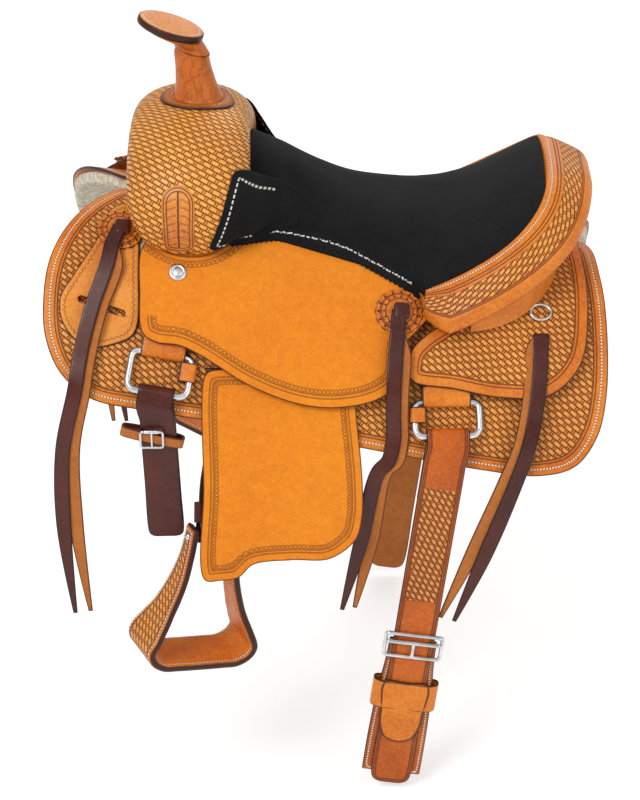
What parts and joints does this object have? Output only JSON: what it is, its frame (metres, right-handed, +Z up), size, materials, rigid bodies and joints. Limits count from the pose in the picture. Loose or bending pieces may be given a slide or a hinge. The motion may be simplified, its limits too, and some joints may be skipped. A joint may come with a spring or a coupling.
{
  "type": "western roping saddle",
  "caption": "Western roping saddle with horn, suede seat, stamped leather skirts, rigging rings, latigo, flank billets, fenders and stirrups that swing.",
  "frame": {"origin": "on the centreline of the horse's back, on the ridge that the saddle rests over, below the front of the seat", "axes": "+X to the rear of the saddle, -Y to the near (left) side, +Z up"},
  "size_m": [0.7096, 0.7402, 0.9842],
  "materials": {
    "tooled_leather": "stamped, lightly waxed",
    "roughout_leather": "rough flesh side out",
    "dark_latigo": "smooth, oiled",
    "black_suede": "napped suede",
    "fleece": "woolly",
    "tree_wood": "raw, covered",
    "stainless": "satin"
  },
  "bodies": {
    "saddle": {"cantle_back": "tooled_leather", "cantle_roll": "tooled_leather", "horn_cap": "tooled_leather", "horn_core": "stainless", "horn_neck_wrap": "tooled_leather", "near_fleece": "fleece", "near_front_plate": "tooled_leather", "near_front_rigging": "tooled_leather", "near_front_ring": "stainless", "near_front_rosette": "tooled_leather", "near_front_strings": "dark_latigo", "near_jockey_screw": "stainless", "near_middle_rosette": "tooled_leather", "near_middle_strings": "dark_latigo", "near_rear_jockey": "tooled_leather", "near_rear_rigging": "tooled_leather", "near_rear_ring": "stainless", "near_rear_strings": "dark_latigo", "near_seat_jockey": "roughout_leather", "near_skirt": "tooled_leather", "near_string_dee": "stainless", "off_fleece": "fleece", "off_front_plate": "tooled_leather", "off_front_rigging": "tooled_leather", "off_front_ring": "stainless", "off_front_rosette": "tooled_leather", "off_front_strings": "dark_latigo", "off_jockey_screw": "stainless", "off_middle_rosette": "tooled_leather", "off_middle_strings": "dark_latigo", "off_rear_jockey": "tooled_leather", "off_rear_rigging": "tooled_leather", "off_rear_ring": "stainless", "off_rear_strings": "dark_latigo", "off_seat_jockey": "roughout_leather", "off_skirt": "tooled_leather", "off_string_dee": "stainless", "seat_cover": "black_suede", "swell_cover": "tooled_leather", "tree_bar_near": "tree_wood", "tree_bar_off": "tree_wood", "tree_cantle": "tree_wood", "tree_fork": "tree_wood"},
    "near_fender": {"near_fender": "roughout_leather", "near_stirrup_leather": "dark_latigo"},
    "near_stirrup": {"near_stirrup": "tooled_leather", "near_stirrup_bolt": "stainless"},
    "near_latigo": {"near_latigo": "dark_latigo", "hobble_strap": "dark_latigo", "hobble_buckle": "stainless"},
    "near_flank": {"near_flank_billet": "tooled_leather", "flank_buckle": "stainless", "flank_cinch_end": "tooled_leather", "flank_keeper": "tooled_leather"},
    "off_fender": {"off_fender": "roughout_leather", "off_stirrup_leather": "dark_latigo"},
    "off_stirrup": {"off_stirrup": "tooled_leather", "off_stirrup_bolt": "stainless"},
    "off_billet": {"off_billet": "dark_latigo"},
    "off_flank": {"off_flank_billet": "tooled_leather"}
  },
  "joints": [
    {"name": "near_fender_swing", "type": "hinge", "parent": "saddle", "child": "near_fender", "pos_m": [-0.105, -0.21648, -0.1265], "axis": [0.0475, -0.9008, 0.4316], "range_deg": [-3, 6]},
    {"name": "near_stirrup_turn", "type": "hinge", "parent": "near_fender", "child": "near_stirrup", "pos_m": [-0.12902, -0.28925, -0.32671], "axis": [-0.8684, -0.4471, 0.2142], "range_deg": [-12, 12]},
    {"name": "near_latigo_swing", "type": "hinge", "parent": "saddle", "child": "near_latigo", "pos_m": [-0.19887, -0.24819, -0.1464], "axis": [-0.986, 0.0349, 0.1632], "range_deg": [0, 5]},
    {"name": "near_flank_swing", "type": "hinge", "parent": "saddle", "child": "near_flank", "pos_m": [0.16387, -0.25396, -0.20012], "axis": [-0.9979, -0.0646, -0.0032], "range_deg": [0, 20]},
    {"name": "off_fender_swing", "type": "hinge", "parent": "saddle", "child": "off_fender", "pos_m": [-0.105, 0.21648, -0.1265], "axis": [-0.0475, -0.9008, -0.4316], "range_deg": [-3, 6]},
    {"name": "off_stirrup_turn", "type": "hinge", "parent": "off_fender", "child": "off_stirrup", "pos_m": [-0.12902, 0.28925, -0.32671], "axis": [0.8684, -0.4471, -0.2142], "range_deg": [-12, 12]},
    {"name": "off_billet_swing", "type": "hinge", "parent": "saddle", "child": "off_billet", "pos_m": [-0.19887, 0.24819, -0.1464], "axis": [0.986, 0.0349, -0.1632], "range_deg": [0, 5]},
    {"name": "off_flank_swing", "type": "hinge", "parent": "saddle", "child": "off_flank", "pos_m": [0.16387, 0.25396, -0.20012], "axis": [0.9979, -0.0646, 0.0032], "range_deg": [0, 20]}
  ]
}
